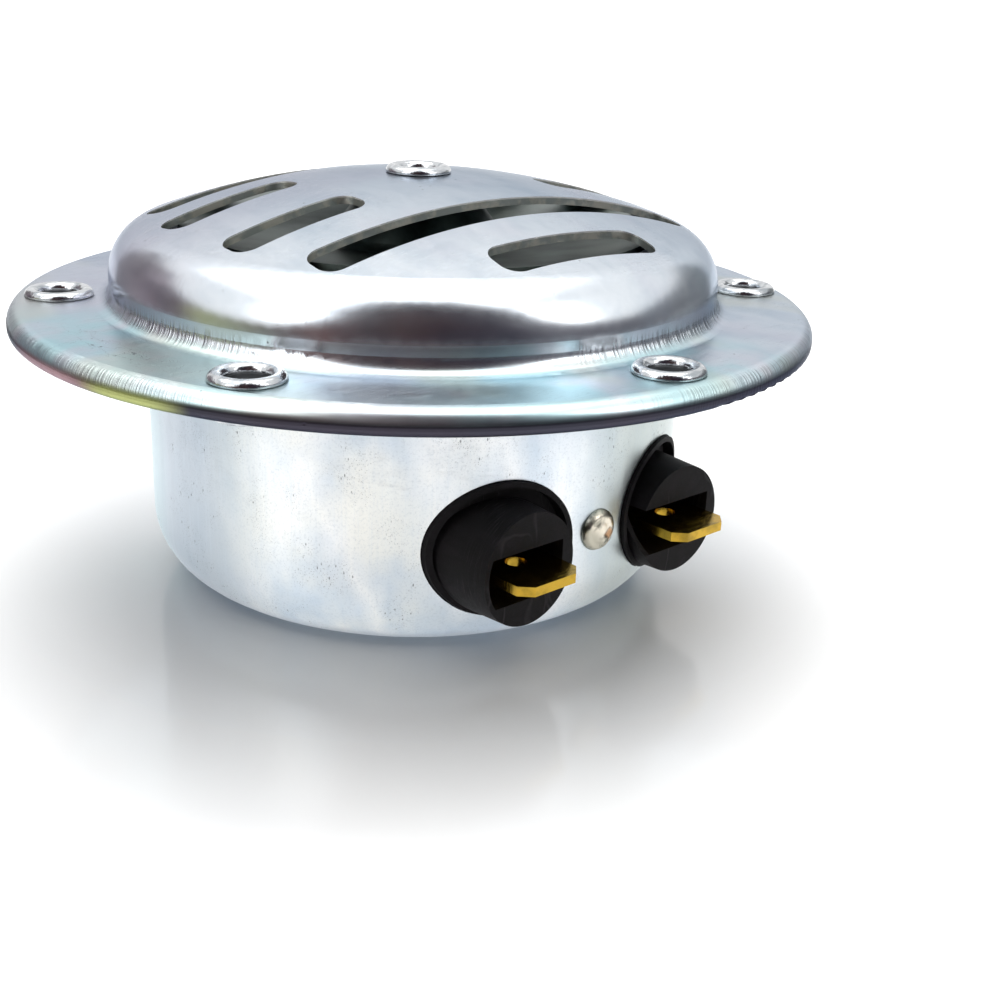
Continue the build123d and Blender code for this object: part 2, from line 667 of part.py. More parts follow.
def make_boss(x):
    """Round boss that fills its hole in the wall, with a rim that follows the wall."""
    boss = rod_along_y(x, BOSS_Z, BOSS_RADIUS, OUTSIDE_Y, BOSS_INNER_Y) & bowl_form(BOSS_PROUD)
    pocket = rod_along_y(x, BOSS_Z, BOSS_RADIUS - BOSS_RIM, OUTSIDE_Y, BOSS_INNER_Y - 1)
    return boss - (pocket - bowl_form(BOSS_PROUD - BOSS_RECESS))


def make_stub(x):
    """Slightly tapered round stub."""
    root = BOSS_INNER_Y - 1
    place = Pos(x, (STUB_END_Y + root) / 2, TERMINAL_Z) * Rot(-90, 0, 0)
    return place * Cone(STUB_RADIUS, STUB_ROOT_RADIUS, root - STUB_END_Y)


def socket_way(x):
    """Room for the push-on connector, open at the end of the stub."""
    way = block(
        x - STUB_RADIUS,
        x + SOCKET_SIDE,
        STUB_END_Y - 1,
        SOCKET_FLOOR_Y,
        TERMINAL_Z - SOCKET_BELOW,
        TERMINAL_Z + SOCKET_ABOVE,
    )
    return way & rod_along_y(x, TERMINAL_Z, STUB_RADIUS - SOCKET_WALL, STUB_END_Y - 1, BOSS_INNER_Y)


def side_notch(x):
    """Wedge cut from the left of a stub, deepest at the top of its socket."""
    low = TERMINAL_Z - SOCKET_BELOW
    high = TERMINAL_Z + SOCKET_ABOVE
    outline = Polyline(
        (STUB_END_Y - 1, low),
        (STUB_END_Y, low),
        (STUB_END_Y + NOTCH_DEPTH, high),
        (STUB_END_Y - 1, high),
        close=True,
    )
    return Pos(x, 0, 0) * extrude(Plane.YZ * make_face(outline), -STUB_ROOT_RADIUS)


def blade_way(x):
    """Slot in the moulding that the blade is pressed through."""
    half_width = BLADE_WIDTH / 2 + SEAT_GAP
    middle = TERMINAL_Z - BLADE_DROP
    half_sheet = BLADE_SHEET / 2 + SEAT_GAP
    return block(
        x - half_width,
        x + half_width,
        SOCKET_FLOOR_Y - 1,
        BOSS_INNER_Y + 1,
        middle - half_sheet,
        middle + half_sheet,
    )


def make_blade(x):
    """Flat brass tab with chamfered tip corners and a locking hole."""
    middle = TERMINAL_Z - BLADE_DROP
    blade = block(
        x - BLADE_WIDTH / 2,
        x + BLADE_WIDTH / 2,
        BLADE_TIP_Y,
        BLADE_TAIL_Y,
        middle - BLADE_SHEET / 2,
        middle + BLADE_SHEET / 2,
    )
    tip_corners = blade.edges().filter_by(Axis.Z).sort_by(Axis.Y)[:2]
    blade = chamfer(tip_corners, BLADE_TIP_CHAMFER)
    hole = Pos(x, BLADE_TIP_Y + BLADE_HOLE_FROM_TIP, middle) * Cylinder(BLADE_HOLE_RADIUS, 2 * BLADE_SHEET)
    return blade - hole


def make_block_rivet():
    """Rivet with a spun head outside the wall and a flat tail inside the bridge."""
    wall = -BOWL_RADIUS - SEAT_GAP
    bridge_face = INNER_WALL_RADIUS - SEAT_GAP - BRIDGE_THICKNESS
    inside = SEAT_GAP - sqrt(bridge_face**2 - BLOCK_RIVET_HEAD_RADIUS**2)
    head_end = wall - BLOCK_RIVET_HEAD_HEIGHT
    head = rod_along_y(0, BLOCK_RIVET_Z, BLOCK_RIVET_HEAD_RADIUS, head_end, wall)
    head = chamfer(head.edges().sort_by(Axis.Y)[0], BLOCK_RIVET_HEAD_HEIGHT / 2)
    shank = rod_along_y(0, BLOCK_RIVET_Z, BLOCK_RIVET_RADIUS, wall, inside)
    tail_end = inside + BLOCK_RIVET_TAIL_HEIGHT
    tail = rod_along_y(0, BLOCK_RIVET_Z, BLOCK_RIVET_HEAD_RADIUS, inside, tail_end)
    return head + shank + tail


def wire(points):
    """Round wire along straight runs joined by arcs."""
    path = FilletPolyline(*points, radius=WIRE_BEND)
    start = Plane(origin=path @ 0, z_dir=path % 0)
    return sweep(start * Circle(WIRE_RADIUS), path)


def on_circle(radius, angle, z):
    """Point at an angle in degrees about the horn's axis, from +X."""
    return (radius * cos(radians(angle)), radius * sin(radians(angle)), z)


def make_leads():
    """Three inner wires: blade to coil, coil to spring, bracket to blade."""
    solder_z = TERMINAL_Z - BLADE_DROP + BLADE_SHEET / 2 + WIRE_RADIUS + SEAT_GAP
    solder_y = BLADE_TAIL_Y - SOLDER_LENGTH
    coil_face = COIL_RADIUS + SEAT_GAP
    blade_angle = degrees(atan2(BLADE_TAIL_Y, TERMINAL_X))
    feed = wire(
        [
            (-TERMINAL_X, solder_y, solder_z),
            (-TERMINAL_X, BLADE_TAIL_Y + WIRE_RADIUS, solder_z),
            on_circle(coil_face, -180 - blade_angle, solder_z),
        ]
    )
    x0, x1, y0, y1 = strip_span()
    spring_z = SPRING_Z + SPRING_SHEET / 2
    coil_z = POLE_PLATE_HEIGHT - COIL_TAIL_DROP
    lane_x = -sqrt((POLE_PLATE_RADIUS + PLATE_LANE_GAP) ** 2 - STACK_MIDDLE_Y**2)
    tail_angle = degrees(atan2(STACK_MIDDLE_Y, lane_x))
    coil_tail = wire(
        [
            (x0 - SEAT_GAP, STACK_MIDDLE_Y, spring_z),
            (lane_x, STACK_MIDDLE_Y, spring_z),
            (lane_x, STACK_MIDDLE_Y, coil_z),
            on_circle(coil_face, tail_angle, coil_z),
        ]
    )
    lane = INNER_WALL_RADIUS - WALL_LANE_GAP
    bracket_y = (BRACKET_INNER_Y + BRACKET_OUTER_Y) / 2
    bracket_z = BRACKET_Z + BRACKET_SHEET / 2
    drop = bracket_z - solder_z
    bracket_wire = wire(
        [
            (BRACKET_END_X + WIRE_RADIUS / 2 + SEAT_GAP, bracket_y, bracket_z),
            on_circle(lane, 42, bracket_z - 0.1 * drop),
            on_circle(lane, 8, bracket_z - 0.45 * drop),
            on_circle(lane, -22, bracket_z - 0.8 * drop),
            (TERMINAL_X, BLADE_TAIL_Y + WIRE_RADIUS, solder_z),
            (TERMINAL_X, solder_y, solder_z),
        ]
    )
    return Compound(children=[feed, coil_tail, bracket_wire])


os.makedirs("parts", exist_ok=True)

nodes = {
    "housing": make_housing(),
    "cover": make_cover(),
    "flange_eyelets": make_flange_eyelets(),
    "centre_eyelet": make_centre_eyelet(),
    "baffle": make_baffle(),
    "rear_gasket": make_gasket(REAR_GASKET_Z),
    "diaphragm": make_diaphragm(),
    "front_gasket": make_gasket(FRONT_GASKET_Z),
    "armature": make_armature(),
    "clamp_washers": make_clamp_washers(),
    "armature_nut": make_armature_nut(),
    "pole_core": make_pole_core(),
    "yoke": make_yoke(),
    "pole_plate": make_pole_plate(),
    "bobbin": make_bobbin(),
    "coil": make_coil(),
    "breaker_insulators": make_breaker_insulators(),
    "contact_spring": make_contact_spring(),
    "trip_button": make_trip_button(),
    "contact_bracket": make_contact_bracket(),
    "contact_points": make_contact_points(),
    "breaker_rivets": make_breaker_rivets(),
    "adjusting_screw": make_adjusting_screw(),
    "terminal_block": make_terminal_block(),
    "feed_blade": make_blade(-TERMINAL_X),
    "breaker_blade": make_blade(TERMINAL_X),
    "block_rivet": make_block_rivet(),
    "leads": make_leads(),
}

for name, shape in nodes.items():
    export_step(shape, f"parts/{name}.step")
    print(name, round(shape.volume, 2))
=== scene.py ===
import random
from math import atan2, cos, radians, sin, tau

import bmesh
import bpy
from mathutils import Matrix, Vector


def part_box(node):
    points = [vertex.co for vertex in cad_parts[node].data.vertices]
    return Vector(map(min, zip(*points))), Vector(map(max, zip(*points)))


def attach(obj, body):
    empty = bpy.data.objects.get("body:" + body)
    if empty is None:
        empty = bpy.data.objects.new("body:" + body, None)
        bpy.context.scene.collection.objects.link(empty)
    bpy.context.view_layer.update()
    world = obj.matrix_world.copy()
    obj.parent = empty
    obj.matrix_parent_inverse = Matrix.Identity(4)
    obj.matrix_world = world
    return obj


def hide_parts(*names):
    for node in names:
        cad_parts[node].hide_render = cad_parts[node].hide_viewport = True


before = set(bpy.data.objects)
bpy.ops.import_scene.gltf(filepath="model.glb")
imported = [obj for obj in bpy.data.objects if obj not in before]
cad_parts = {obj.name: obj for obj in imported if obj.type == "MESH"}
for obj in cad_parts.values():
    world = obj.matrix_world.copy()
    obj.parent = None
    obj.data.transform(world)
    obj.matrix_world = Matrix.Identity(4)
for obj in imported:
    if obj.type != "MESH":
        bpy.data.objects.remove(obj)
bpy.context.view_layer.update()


# Housing
# A deep drawn bowl of zinc plated steel with a flat flange. The plating is satin on the
# wall, where the drawing die left fine upright lines, and it has a faint blue and cream cast.
# Some patches on its sides and its lower corner are painted darker, as painted shade.


class Field:
    """A shader socket that takes part in expressions: each operator adds its Math node."""

    def __init__(self, socket):
        self.socket = socket

    def node(self, kind, settings=None, sockets=None, output=0):
        """Any node of this tree: its settings first, then its sockets' values or links."""
        tree = self.socket.id_data
        made = tree.nodes.new("ShaderNode" + kind)
        for name, value in (settings or {}).items():
            if name == "stops":
                ramp = made.color_ramp
                while len(ramp.elements) < len(value):
                    ramp.elements.new(1.0)
                for element, (position, colour) in zip(ramp.elements, value):
                    element.position = position
                    element.color = (*colour, 1.0)
            else:
                setattr(made, name, value)
        for name, value in (sockets or {}).items():
            if isinstance(value, Field):
                tree.links.new(value.socket, made.inputs[name])
            else:
                made.inputs[name].default_value = value
        return Field(made.outputs[output]) if made.outputs else None

    def math(self, operation, first, second=0.0):
        return self.node("Math", {"operation": operation}, {0: first, 1: second})

    def __add__(self, other):
        return self.math("ADD", self, other)

    def __radd__(self, other):
        return self.math("ADD", other, self)

    def __sub__(self, other):
        return self.math("SUBTRACT", self, other)

    def __rsub__(self, other):
        return self.math("SUBTRACT", other, self)

    def __mul__(self, other):
        return self.math("MULTIPLY", self, other)

    def __rmul__(self, other):
        return self.math("MULTIPLY", other, self)

    def __truediv__(self, other):
        return self.math("DIVIDE", self, other)

    def __pow__(self, other):
        return self.math("POWER", self, other)

    def size(self):
        return self.math("ABSOLUTE", self)

    def rise(self, low, high):
        """Smooth step from 0 at the low value to 1 at the high one."""
        step = {"interpolation_type": "SMOOTHSTEP"}
        return self.node("MapRange", step, {"Value": self, "From Min": low, "From Max": high})

    def near(self, middle, reach):
        """1 at the middle value, falling to 0 at that reach on both sides."""
        return (self - middle).size().rise(reach, 0.0)

    def pick(self, off, on):
        """Colour between two, by this value."""
        colours = {"data_type": "RGBA"}
        off = off if isinstance(off, Field) else (*off, 1.0)
        on = on if isinstance(on, Field) else (*on, 1.0)
        return self.node("Mix", colours, {0: self, 6: off, 7: on}, output=2)

    def tone(self, stops):
        return self.node("ValToRGB", {"stops": stops}, {"Fac": self})

    def parts(self):
        """The three numbers of a vector."""
        split = self.node("SeparateXYZ", {}, {"Vector": self})
        outputs = split.socket.node.outputs
        return Field(outputs["X"]), Field(outputs["Y"]), Field(outputs["Z"])

    def vector(self, x, y, z):
        return self.node("CombineXYZ", {}, {"X": x, "Y": y, "Z": z})

    def mapped(self, turn, stretch):
        """The place turned by angles in degrees and stretched, for a grain that has a direction."""
        turned = tuple(radians(angle) for angle in turn)
        return self.node("Mapping", {}, {"Vector": self, "Rotation": turned, "Scale": stretch})

    def noise(self, scale, detail=3.0, roughness=0.5):
        return self.node(
            "TexNoise",
            {},
            {"Vector": self, "Scale": scale, "Detail": detail, "Roughness": roughness},
        )

    def cells(self, scale):
        """Distance to the nearest of many scattered points."""
        return self.node("TexVoronoi", {}, {"Vector": self, "Scale": scale})


def new_finish(name):
    """An empty material, and the place on the part in millimetres to build it on."""
    material = bpy.data.materials.new(name)
    material.use_nodes = True
    material.node_tree.nodes.clear()
    place = Field(material.node_tree.nodes.new("ShaderNodeTexCoord").outputs["Object"])
    millimetres = place.node("VectorMath", {"operation": "SCALE"}, {0: place, "Scale": 1000.0})
    return material, millimetres


def close_finish(place, sockets, height, relief):
    """One surface shader with a relief in metres, joined to the output."""
    bump = place.node("Bump", {}, {"Height": height, "Distance": relief})
    surface = place.node("BsdfPrincipled", {}, {**sockets, "Normal": bump})
    place.node("OutputMaterial", {}, {"Surface": surface})


def round_place(place):
    """Radius from the horn's axis, and a place that only changes with the angle."""
    x, y, z = place.parts()
    radius = (x * x + y * y) ** 0.5
    return radius, place.vector(x / radius, y / radius, 0.0), z


def scratches(place, turns, fineness):
    """Thin straight marks in a few directions, 0 to 1."""
    total = 0.0
    for turn in turns:
        along = place.mapped((0, 0, turn), (0.05, 1.0, 0.03))
        patch = place.mapped((0, 0, turn), (1, 1, 1)).noise(0.12, 2.0)
        total = total + along.noise(fineness, 2.0).near(0.5, 0.012) * patch.rise(0.52, 0.62)
    return total.math("MINIMUM", total, 1.0)


def facing(angle, direction, reach):
    """1 where the surface lies towards a direction in degrees, 0 beyond that reach."""
    x, y, _ = angle.parts()
    towards = x * cos(radians(direction)) + y * sin(radians(direction))
    return towards.rise(cos(radians(reach)), 1.0)


def dress(nodes, material):
    """Give CAD nodes this finish in their material slots."""
    for name in nodes:
        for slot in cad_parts[name].material_slots:
            slot.material = material


ZINC_BLUE = (0.62, 0.71, 0.80)
ZINC_WHITE = (0.90, 0.93, 0.95)
ZINC_CREAM = (0.94, 0.93, 0.86)
CORNER_SHADE_BLUE = (0.28, 0.34, 0.41)
ZINC_LILAC = (0.38, 0.44, 0.50)
TEAL_TINT_AND_SHADE = (0.38, 0.53, 0.57)
GREEN_TINT_AND_SHADE = (0.40, 0.46, 0.44)
DARK_SPECK = (0.10, 0.11, 0.12)
CREAM_SIDE = -146
TEAL_SIDE = 150
LILAC_SIDE = 172
BLUE_SIDE = -70
TOOL_MARK = (4.6, 4.2, 2.6)


def housing_zinc():
    material, place = new_finish("satin_zinc")
    radius, angle, z = round_place(place)
    x, y, _ = place.parts()
    clouds = place.mapped((20, 0, 30), (1, 1, 0.5)).noise(0.10, 4.0)
    colour = clouds.tone([(0.34, ZINC_BLUE), (0.48, ZINC_WHITE), (0.62, ZINC_BLUE)])
    warm = facing(angle, CREAM_SIDE, 36) * place.noise(0.12, 3.0).rise(0.30, 0.65)
    colour = (warm * 0.75).pick(colour, ZINC_CREAM)
    # Partly tint, partly painted shade: lilac, teal and green patches darken the bowl round its sides at 172,
    # 150 and -70 degrees.
    colour = (facing(angle, LILAC_SIDE, 34) * 0.85).pick(colour, ZINC_LILAC)
    colour = (facing(angle, TEAL_SIDE, 22) * 0.7).pick(colour, TEAL_TINT_AND_SHADE)
    colour = (facing(angle, BLUE_SIDE, 30) * 0.8).pick(colour, GREEN_TINT_AND_SHADE)
    lines = angle.vector(angle.parts()[0] * 60.0, angle.parts()[1] * 60.0, z * 0.06)
    drawn = lines.noise(1.6, 4.0, 0.7)
    coarse = lines.noise(0.30, 3.0, 0.6)
    colour = (drawn.rise(0.45, 0.80) * 0.22).pick(colour, ZINC_BLUE)
    grain = place.noise(5.0, 4.0, 0.7)
    colour = (grain.rise(0.48, 0.70) * 0.26).pick(colour, ZINC_LILAC)
    clusters = place.noise(0.22, 3.0, 0.6)
    short = place.mapped((0, 30, 0), (1.0, 1.0, 0.45))
    specks = short.cells(2.6).rise(0.20, 0.08) * clusters.rise(0.56, 0.60)
    fine_specks = place.cells(5.5).rise(0.30, 0.10) * clusters.rise(0.48, 0.60)
    dark = specks.math("MAXIMUM", specks * 0.7, fine_specks * 0.4)
    # Painted shade: the bowl's lower corner is painted a darker blue-grey, where it faces the floor's shadow.
    corner = (z + place.noise(0.4, 2.0)).rise(2.8, 0.9)
    colour = (corner * 0.8).pick(colour, CORNER_SHADE_BLUE)
    colour = dark.pick(colour, DARK_SPECK)
    mark_x, mark_z, mark_radius = TOOL_MARK
    from_mark = ((x - mark_x) * (x - mark_x) + (z - mark_z) * (z - mark_z)) ** 0.5
    tool_mark = from_mark.near(mark_radius, 0.07) * x.rise(mark_x + 1.0, mark_x + 1.4)
    colour = (tool_mark * 0.5).pick(colour, DARK_SPECK)
    marks = scratches(place.vector(x, z, y), (8, 62, 118), 5.0)
    height = drawn * 0.35 + coarse * 0.3 - dark - marks * 0.15 + grain * 0.45 - tool_mark
    roughness = 0.24 + coarse * 0.12 + drawn * 0.06 + dark * 0.2
    close_finish(
        place,
        {"Base Color": colour, "Roughness": roughness, "Metallic": 1.0},
        height,
        0.000012,
    )
    return material


dress(["housing"], housing_zinc())


# Magnet
# A soft iron core spun into the back, a bent strap yoke round it and a round pole plate.
# The iron is thinly plated and turned, so it shows fine rings and a warm grey.

IRON_GREY = (0.42, 0.41, 0.40)
IRON_WARM = (0.50, 0.46, 0.40)


def turned_iron(name, light, dark, ring_pitch):
    material, place = new_finish(name)
    radius, angle, z = round_place(place)
    rings = place.vector(radius / ring_pitch, 0.0, z / ring_pitch).noise(1.0, 2.0)
    stains = place.noise(0.3, 4.0)
    colour = stains.rise(0.35, 0.7).pick(light, dark)
    marks = scratches(place, (15, 75, 140), 4.0)
    close_finish(
        place,
        {"Base Color": colour, "Roughness": 0.28 + stains * 0.25, "Metallic": 1.0},
        rings * 0.7 + marks * 0.4 + stains * 0.3,
        0.00002,
    )
    return material


dress(["pole_core", "yoke", "pole_plate", "armature"], turned_iron("soft_iron", IRON_GREY, IRON_WARM, 0.12))


# Coil
# Enamelled copper wire wound in layers on a moulded bobbin.

COPPER = (0.62, 0.24, 0.10)
COPPER_GROOVE_SHADE = (0.36, 0.11, 0.05)
WIRE_PITCH = 0.28


def wound_copper():
    material, place = new_finish("wound_copper")
    radius, angle, z = round_place(place)
    turn = (z * (tau / WIRE_PITCH)).math("SINE", z * (tau / WIRE_PITCH))
    gloss = place.noise(0.8, 3.0)
    # Painted shade: the copper is darker in the grooves between turns, following the same sine as the relief.
    colour = (turn * 0.5 + 0.5).pick(COPPER_GROOVE_SHADE, COPPER)
    close_finish(
        place,
        {"Base Color": colour, "Roughness": 0.22 + gloss * 0.2, "Metallic": 0.85, "Coat Weight": 0.6},
        turn * 0.5 + gloss * 0.2,
        0.00012,
    )
    return material


def moulded(name, light, dark, shine, grain):
    """Moulded plastic or pressed fibre: fine grain, cloudy gloss and faint flow marks."""
    material, place = new_finish(name)
    fine = place.noise(9.0, 4.0, 0.6)
    flow = place.mapped((10, 25, 40), (0.3, 1, 1)).noise(0.5, 4.0)
    dust = place.cells(2.2).rise(0.12, 0.05) * place.noise(0.6).rise(0.5, 0.65)
    colour = flow.rise(0.35, 0.7).pick(dark, light)
    close_finish(
        place,
        {"Base Color": colour, "Roughness": shine + fine * 0.18 + flow * 0.1},
        fine + flow * 0.5 + dust * 0.3,
        grain,
    )
    return material


dress(["coil"], wound_copper())
dress(["bobbin"], moulded("bobbin_plastic", (0.62, 0.58, 0.48), (0.50, 0.46, 0.36), 0.42, 0.00002))


# Contact breaker
# Fibre strips insulate a bronze spring and a stiff steel bracket that carry the two contacts.
# Two rivets clamp the stack, a button under the collar trips it, a slotted screw adjusts it.

FIBRE_TAN = (0.34, 0.19, 0.10)
FIBRE_DARK = (0.22, 0.11, 0.06)
BRONZE = (0.66, 0.40, 0.20)
BRONZE_DARK = (0.44, 0.26, 0.14)
CONTACT_GREY = (0.60, 0.60, 0.62)
CONTACT_BURN = (0.20, 0.18, 0.18)
STEEL_LIGHT = (0.58, 0.59, 0.60)
STEEL_DARK = (0.40, 0.41, 0.44)


def rolled_metal(name, light, dark, shine):
    """Sheet or wire with the fine grain of rolling and small stains."""
    material, place = new_finish(name)
    grain = place.mapped((0, 0, 12), (0.08, 1, 1)).noise(7.0, 3.0)
    stains = place.noise(0.5, 4.0)
    marks = scratches(place, (4, 70), 4.0)
    colour = stains.rise(0.4, 0.72).pick(light, dark)
    close_finish(
        place,
        {"Base Color": colour, "Roughness": shine + grain * 0.15 + stains * 0.1, "Metallic": 1.0},
        grain + marks * 0.5,
        0.000008,
    )
    return material


dress(["breaker_insulators"], moulded("breaker_fibre", FIBRE_TAN, FIBRE_DARK, 0.6, 0.00003))
dress(["contact_spring"], rolled_metal("bronze_spring", BRONZE, BRONZE_DARK, 0.2))
dress(["contact_points"], rolled_metal("contact_metal", CONTACT_GREY, CONTACT_BURN, 0.25))
dress(["trip_button"], moulded("trip_button_fibre", FIBRE_TAN, FIBRE_DARK, 0.5, 0.00002))
bright_steel = rolled_metal("fastener_steel", STEEL_LIGHT, STEEL_DARK, 0.22)
dress(["contact_bracket", "breaker_rivets", "adjusting_screw", "clamp_washers", "armature_nut"], bright_steel)


# Inner wires
# Stranded wires in a dull red plastic cover, soldered at both ends.

dress(["leads"], moulded("wire_cover", (0.42, 0.05, 0.04), (0.30, 0.03, 0.03), 0.4, 0.00001))


# Terminal block
# One black moulding that reaches through the wall: two round bosses, each with a stub that
# holds a blade. The plastic is matt, with rubbed edges.

BLACK_PLASTIC = (0.006, 0.005, 0.006)
RUBBED_BLACK = (0.016, 0.013, 0.016)


def terminal_plastic():
    material, place = new_finish("terminal_plastic")
    fine = place.noise(7.0, 5.0, 0.65)
    flow = place.mapped((0, 90, 15), (1, 0.2, 1)).noise(0.6, 4.0)
    marks = scratches(place, (30, 85, 150), 3.0)
    colour = (flow.rise(0.4, 0.75) * 0.7).pick(BLACK_PLASTIC, RUBBED_BLACK)
    colour = (marks * 0.5).pick(colour, (0.05, 0.045, 0.05))
    close_finish(
        place,
        {
            "Base Color": colour,
            "Roughness": 0.52 + fine * 0.2 + flow * 0.1,
            "Specular IOR Level": 0.18,
        },
        fine + flow * 0.6 + marks * 0.4,
        0.00003,
    )
    return material


dress(["terminal_block"], terminal_plastic())


# Blades
# Brass tabs, blanked from strip, so their edges are sheared and a little darker.

BRASS = (0.52, 0.33, 0.04)
BRASS_DARK = (0.30, 0.20, 0.03)


def blade_brass():
    material, place = new_finish("blade_brass")
    grain = place.mapped((0, 0, 0), (1, 0.06, 1)).noise(8.0, 4.0)
    stains = place.noise(0.7, 4.0)
    marks = scratches(place, (82, 98, 20), 4.0)
    colour = stains.rise(0.42, 0.75).pick(BRASS, BRASS_DARK)
    close_finish(
        place,
        {"Base Color": colour, "Roughness": 0.10 + grain * 0.08 + stains * 0.10, "Metallic": 1.0},
        grain + marks * 0.6,
        0.000006,
    )
    return material


dress(["feed_blade", "breaker_blade"], blade_brass())


# Block rivet
# A soft metal rivet between the stubs, closed by a spinning tool that left a swirl in its head.

RIVET_CREAM = (0.80, 0.74, 0.62)
RIVET_STAIN_AND_SHADE = (0.16, 0.17, 0.13)
RIVET_BROWN = (0.50, 0.26, 0.12)
RIVET_HEAD_HEIGHT = 0.0006
RIVET_TAIL_HEIGHT = 0.0005
RIVET_SHANK_RADIUS = 0.0012
RIVET_RINGS = 22
RIVET_STEPS = 64
SWIRL_PITCH = 0.00085
SWIRL_DEPTH = 0.00004
UNEVEN = 0.012


def lathe(name, outline, steps, wobble):
    """Turn an outline about Z, the radius a little uneven round the turn."""
    verts = []
    faces = []
    count = len(outline)
    for step in range(steps):
        angle = tau * step / steps
        uneven = 1 - UNEVEN + UNEVEN * sin(2 * angle + wobble) / 2 + UNEVEN * sin(5 * angle) / 2
        for radius, height in outline:
            verts.append((radius * uneven * cos(angle), radius * uneven * sin(angle), height))
    for step in range(steps):
        for corner in range(count):
            here = step * count
            there = (step + 1) % steps * count
            after = (corner + 1) % count
            faces.append((here + corner, there + corner, there + after, here + after))
    mesh = bpy.data.meshes.new(name)
    mesh.from_pydata(verts, [], faces)
    mesh.polygons.foreach_set("use_smooth", [True] * len(faces))
    piece = bpy.data.objects.new(name, mesh)
    bpy.context.scene.collection.objects.link(piece)
    return piece


def rivet_metal():
    material, place = new_finish("rivet_metal")
    x, y, z = place.parts()
    stains = place.noise(0.7, 4.0)
    # Dark stains, and a painted shade that darkens the head towards its lower left.
    lower_left_shade = (z + x * 0.8).rise(9.7, 8.6)
    colour = (stains.rise(0.46, 0.60) * 0.6 + lower_left_shade * 0.5).pick(RIVET_CREAM, RIVET_STAIN_AND_SHADE)
    notch = ((x - 0.9).size() + (z - 9.2).size()).rise(0.75, 0.35)
    colour = (notch * 0.8).pick(colour, RIVET_BROWN)
    close_finish(
        place,
        {"Base Color": colour, "Roughness": 0.22 + stains * 0.2, "Metallic": 1.0},
        place.noise(2.5, 4.0) + stains - notch * 2.0,
        0.00004,
    )
    return material


def swirl_rivet():
    """The whole rivet turned about its axis: spun head outside, shank, flat tail inside."""
    low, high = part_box("block_rivet")
    radius = (high[0] - low[0]) / 2
    head_end = -low[1]
    tail_end = -high[1]
    wall = head_end - RIVET_HEAD_HEIGHT
    tail = tail_end + RIVET_TAIL_HEIGHT
    outline = []
    for ring in range(RIVET_RINGS + 1):
        out = ring / RIVET_RINGS
        drop = RIVET_HEAD_HEIGHT * (0.12 * out**2 + 0.75 * out**9)
        swirl = SWIRL_DEPTH * (1 - out**6)
        outline.append((radius * out, head_end - drop - swirl))
    outline += [(radius, wall), (RIVET_SHANK_RADIUS, wall), (RIVET_SHANK_RADIUS, tail)]
    outline += [(radius, tail), (radius, tail_end + RIVET_TAIL_HEIGHT / 4), (0.9 * radius, tail_end)]
    outline += [(0.0, tail_end)]
    piece = lathe("block_rivet", outline, RIVET_STEPS, 1.3)
    for vert in piece.data.vertices:
        out = vert.co.xy.length
        if vert.co.z > wall and out < 0.92 * radius:
            turn = tau * out / SWIRL_PITCH - atan2(vert.co.y, vert.co.x)
            vert.co.z += SWIRL_DEPTH * sin(turn) * min(1.0, out / SWIRL_PITCH)
    middle = (low[2] + high[2]) / 2
    aim = Matrix.Translation((0, 0, middle)) @ Matrix.Rotation(radians(90), 4, "X")
    piece.data.transform(aim)
    mesh = bmesh.new()
    mesh.from_mesh(piece.data)
    bmesh.ops.remove_doubles(mesh, verts=mesh.verts, dist=0.000002)
    mesh.to_mesh(piece.data)
    mesh.free()
    piece.data.materials.append(rivet_metal())
    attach(piece, "root")
    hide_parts("block_rivet")


swirl_rivet()


# Diaphragm stack
# A thin spring steel disc between two board gaskets, held by the flange eyelets.

BOARD_LIGHT = (0.36, 0.28, 0.19)
BOARD_DARK = (0.26, 0.19, 0.12)
SPRING_BLUE = (0.34, 0.38, 0.44)
SPRING_GREY = (0.48, 0.49, 0.50)

dress(["rear_gasket", "front_gasket"], moulded("gasket_board", BOARD_LIGHT, BOARD_DARK, 0.7, 0.00004))
dress(["diaphragm"], rolled_metal("spring_steel", SPRING_GREY, SPRING_BLUE, 0.24))


# Baffle
# A dished plate that hangs under the crown and closes the straight way in through the slots.
# Its very dark grey-green is painted shade, standing in for the dim space under the crown.

PLATE_SHADE_GREEN = (0.13, 0.16, 0.15)
PLATE_SHADE_DARK = (0.05, 0.06, 0.06)


def baffle_plate():
    material, place = new_finish("dark_plate")
    radius, angle, z = round_place(place)
    clouds = place.noise(0.15, 3.0)
    spun = place.vector(radius * 6.0, 0.0, 0.0).noise(1.0, 2.0)
    # Painted shade: both plate colours are kept near black.
    colour = clouds.rise(0.35, 0.7).pick(PLATE_SHADE_GREEN, PLATE_SHADE_DARK)
    close_finish(
        place,
        {"Base Color": colour, "Roughness": 0.28 + clouds * 0.15, "Metallic": 1.0},
        spun * 0.5 + place.noise(3.0, 3.0) * 0.4,
        0.00001,
    )
    return material


dress(["baffle"], baffle_plate())


# Cover
# The pressed grille: zinc plated steel with a blue passivated shine, slots punched through the
# crown, and jagged draw marks round the foot of the dome and the rim. The dark dashes at the foot
# are partly painted reflection; the rim's lower rounding has a painted reflection and the slot
# edges a painted highlight.

